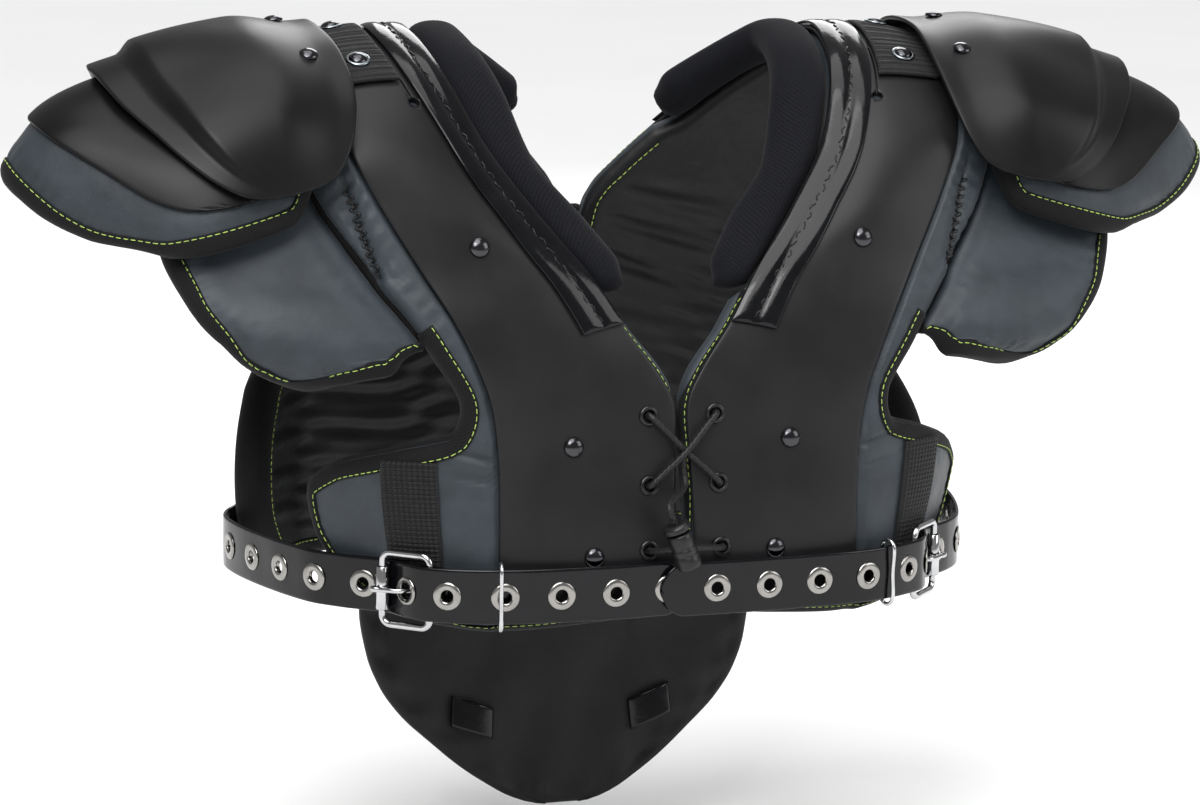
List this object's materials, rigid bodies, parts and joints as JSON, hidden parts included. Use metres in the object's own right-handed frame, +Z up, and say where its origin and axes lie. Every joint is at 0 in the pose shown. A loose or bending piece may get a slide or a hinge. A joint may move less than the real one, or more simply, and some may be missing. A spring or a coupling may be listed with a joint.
{
  "type": "football shoulder pad",
  "caption": "Shoulder and chest armour in its worn pose: moulded arch plates over foam padding, layered epaulets, neck rolls, laced front, buckled rib belts and a tail flap.",
  "frame": {"origin": "the seat on the wearer's shoulders: on the centre plane, level with the underside of the padding at the shoulder crests", "axes": "+X towards the wearer's left, -Y towards the chest's front, +Z up"},
  "size_m": [0.5886, 0.2449, 0.4066],
  "materials": {
    "plate": "satin charcoal moulded plastic with a fine grain",
    "padding": "grey-blue nylon over foam, bound in black twill with a pale dashed stitch",
    "lining": "soft black nylon with sewn folds",
    "knit": "matt black knit over foam",
    "vinyl": "glossy black vinyl",
    "webbing": "ribbed black webbing",
    "chrome": "polished bright plating",
    "rivet": "dark bright plating",
    "eyelet": "black enamelled metal",
    "lock": "black moulded plastic",
    "cord": "braided black cord"
  },
  "bodies": {
    "root": {"arch_left": "plate", "arch_right": "plate", "body_pad_left": "padding", "body_pad_right": "padding", "deltoid_pad_left": "padding", "deltoid_pad_right": "padding", "epaulet_pad_left": "padding", "epaulet_pad_right": "padding", "epaulet_cup_left": "plate", "epaulet_cup_right": "plate", "epaulet_cap_left": "plate", "epaulet_cap_right": "plate", "neck_roll_left": "knit", "neck_roll_right": "knit", "neck_trim_left": "vinyl", "neck_trim_right": "vinyl", "epaulet_strap_left": "webbing", "epaulet_strap_right": "webbing", "side_strap_left": "webbing", "side_strap_right": "webbing", "belt_left": "vinyl", "belt_right": "vinyl", "buckle_frame_left": "chrome", "buckle_frame_right": "chrome", "buckle_roller_left": "chrome", "buckle_roller_right": "chrome", "buckle_prong_left": "chrome", "buckle_prong_right": "chrome", "keeper_loop_left": "chrome", "keeper_loop_right": "chrome", "buckle_tab_left": "vinyl", "buckle_tab_right": "vinyl", "back_flap": "lining", "flap_loop_left": "vinyl", "flap_loop_right": "vinyl", "back_bridge": "webbing", "lace": "cord", "cord_lock_barrel": "lock", "cord_lock_button": "lock", "eyelet_top_left": "eyelet", "eyelet_top_right": "eyelet", "eyelet_mid_left": "eyelet", "eyelet_mid_right": "eyelet", "eyelet_low_left": "eyelet", "eyelet_low_right": "eyelet", "rivet_upper_left": "rivet", "rivet_upper_right": "rivet", "rivet_mid_left": "rivet", "rivet_mid_right": "rivet", "rivet_low_left": "rivet", "rivet_low_right": "rivet", "strap_rivet_front_left": "rivet", "strap_rivet_front_right": "rivet", "strap_rivet_top_left": "rivet", "strap_rivet_top_right": "rivet", "cap_rivet_front_left": "rivet", "cap_rivet_front_right": "rivet", "cap_rivet_top_left": "rivet", "cap_rivet_top_right": "rivet"}
  },
  "joints": []
}
